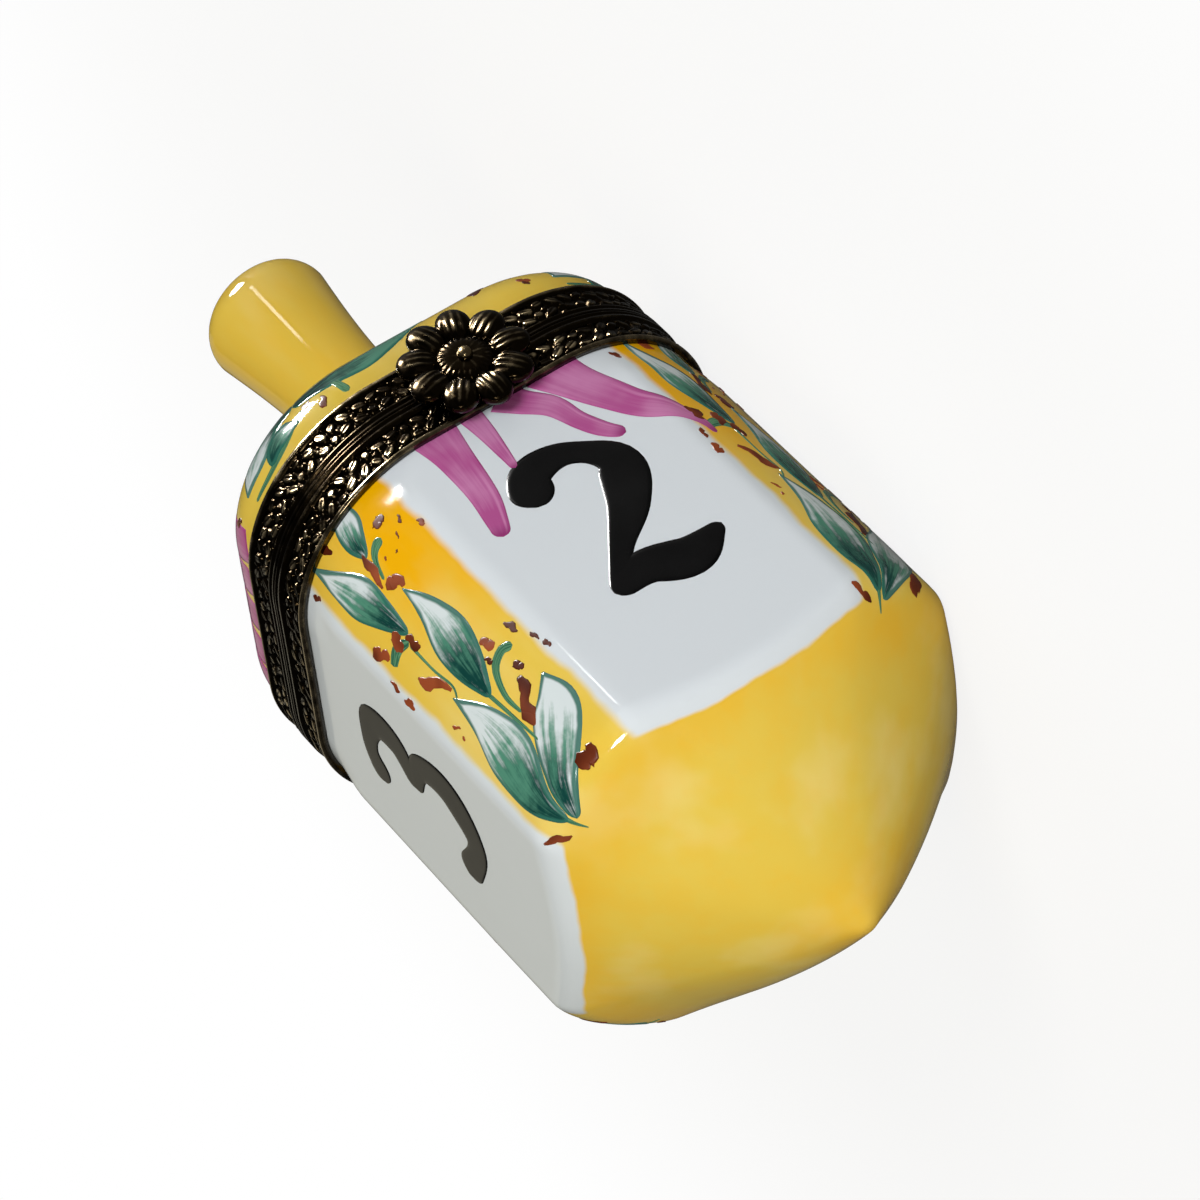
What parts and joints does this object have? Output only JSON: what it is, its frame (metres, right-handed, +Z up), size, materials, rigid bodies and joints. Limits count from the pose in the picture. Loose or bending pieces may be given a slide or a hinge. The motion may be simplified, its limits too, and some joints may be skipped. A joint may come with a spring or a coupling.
{
  "type": "dreidel trinket box",
  "caption": "Hinged glazed porcelain trinket box shaped like a dreidel, lying on one face, with chased brass collars, a flower clasp and a lid with a stem that swings open.",
  "frame": {"origin": "middle of the bounding box at the floor, under the box as it lies", "axes": "+X along the spin axis towards the stem, -Y the face with the clasp, +Y the hinge, +Z up; the axis leans a little because the box lies on its collar and shoulder"},
  "size_m": [0.0739, 0.039, 0.0345],
  "materials": {
    "porcelain": "gloss glaze, painted yellow with white panels",
    "collar_brass": "dark antique finish with rubbed bright edges",
    "hinge_brass": "drawn, lightly tarnished",
    "cement": "matt"
  },
  "bodies": {
    "base": {"base_porcelain": "porcelain", "base_collar": "collar_brass", "base_cement": "cement", "base_knuckle_left": "hinge_brass", "base_knuckle_middle": "hinge_brass", "base_knuckle_right": "hinge_brass", "hinge_pin": "hinge_brass", "catch_bead": "hinge_brass"},
    "lid": {"lid_porcelain": "porcelain", "lid_collar": "collar_brass", "lid_cement": "cement", "lid_knuckle_left": "hinge_brass", "lid_knuckle_right": "hinge_brass", "clasp_tongue": "collar_brass", "clasp_flower": "collar_brass", "clasp_rivet": "hinge_brass"}
  },
  "joints": [
    {"name": "lid_hinge", "type": "hinge", "parent": "base", "child": "lid", "pos_m": [0.00663, 0.01843, 0.01727], "axis": [-0.0226, 0, 0.9997], "range_deg": [0, 105]}
  ]
}
